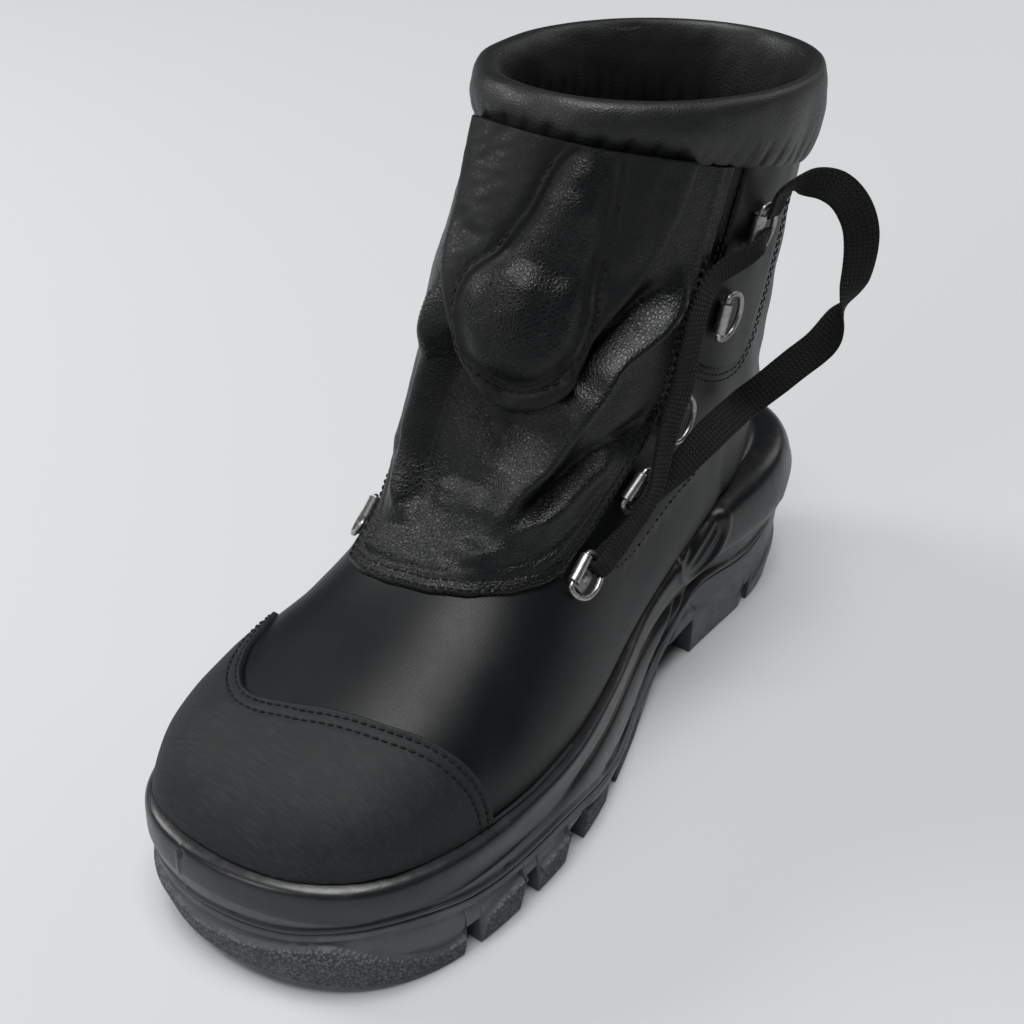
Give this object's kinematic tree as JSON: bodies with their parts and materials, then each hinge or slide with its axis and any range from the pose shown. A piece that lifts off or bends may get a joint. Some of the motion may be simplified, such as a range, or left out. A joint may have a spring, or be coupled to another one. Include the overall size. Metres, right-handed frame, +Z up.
{
  "type": "safety boot",
  "caption": "High-leg left safety boot with a moulded two-part lugged sole, a toe cap, a soft padded front panel, ring lacing and a padded collar, standing open at the top.",
  "frame": {"origin": "on the floor under the middle of the sole's box, in length and width", "axes": "+Z up, -Y towards the toe, +X towards the wearer's left, which is the outer side of this left boot"},
  "size_m": [0.1326, 0.307, 0.2308],
  "materials": {
    "outsole_rubber": "matte, rough lug sides",
    "midsole_foam": "satin moulded foam skin",
    "insole_felt": "matte felt",
    "smooth_leather": "semi-matte fine grain",
    "brushed_leather": "matte, lightly scuffed",
    "grained_leather": "soft pebble grain, satin",
    "ring_steel": "dark plated, worn bright at the edges",
    "lace_braid": "flat braid"
  },
  "bodies": {
    "boot": {"outsole": "outsole_rubber", "midsole": "midsole_foam", "insole": "insole_felt", "upper": "smooth_leather", "toe_cap": "brushed_leather", "front_panel": "grained_leather", "front_patch": "grained_leather", "eyestay_outer": "smooth_leather", "eyestay_inner": "smooth_leather", "back_seam": "smooth_leather", "collar": "grained_leather", "clip_outer_1": "ring_steel", "clip_outer_2": "ring_steel", "clip_outer_3": "ring_steel", "clip_outer_4": "ring_steel", "clip_outer_5": "ring_steel", "clip_inner_1": "ring_steel", "clip_inner_2": "ring_steel", "clip_inner_3": "ring_steel", "clip_inner_4": "ring_steel", "clip_inner_5": "ring_steel", "ring_outer_1": "ring_steel", "ring_outer_2": "ring_steel", "ring_outer_3": "ring_steel", "ring_outer_5": "ring_steel", "lace_front_strand": "lace_braid", "lace_free_strand": "lace_braid"},
    "swing_ring_outer_4": {"ring_outer_4": "ring_steel"},
    "swing_ring_inner_1": {"ring_inner_1": "ring_steel"},
    "swing_ring_inner_2": {"ring_inner_2": "ring_steel"},
    "swing_ring_inner_3": {"ring_inner_3": "ring_steel"},
    "swing_ring_inner_4": {"ring_inner_4": "ring_steel"},
    "swing_ring_inner_5": {"ring_inner_5": "ring_steel"}
  },
  "joints": [
    {"name": "ring_outer_4_hinge", "type": "hinge", "parent": "boot", "child": "swing_ring_outer_4", "pos_m": [0.04135, 0.05326, 0.15435], "axis": [-0.0616, -0.2215, -0.9732], "range_deg": [0, 110]},
    {"name": "ring_inner_1_hinge", "type": "hinge", "parent": "boot", "child": "swing_ring_inner_1", "pos_m": [-0.03708, -0.03307, 0.09781], "axis": [-0.308, 0.9356, 0.1727], "range_deg": [0, 110]},
    {"name": "ring_inner_2_hinge", "type": "hinge", "parent": "boot", "child": "swing_ring_inner_2", "pos_m": [-0.04659, 0.00215, 0.1013], "axis": [-0.0979, 0.9053, 0.4133], "range_deg": [0, 110]},
    {"name": "ring_inner_3_hinge", "type": "hinge", "parent": "boot", "child": "swing_ring_inner_3", "pos_m": [-0.0466, 0.03069, 0.12056], "axis": [0.0531, 0.7226, 0.6892], "range_deg": [0, 110]},
    {"name": "ring_inner_4_hinge", "type": "hinge", "parent": "boot", "child": "swing_ring_inner_4", "pos_m": [-0.04624, 0.04902, 0.14576], "axis": [0.0509, 0.235, 0.9707], "range_deg": [0, 110]},
    {"name": "ring_inner_5_hinge", "type": "hinge", "parent": "boot", "child": "swing_ring_inner_5", "pos_m": [-0.04648, 0.06309, 0.17301], "axis": [-0.0149, 0.228, 0.9735], "range_deg": [0, 110]}
  ]
}
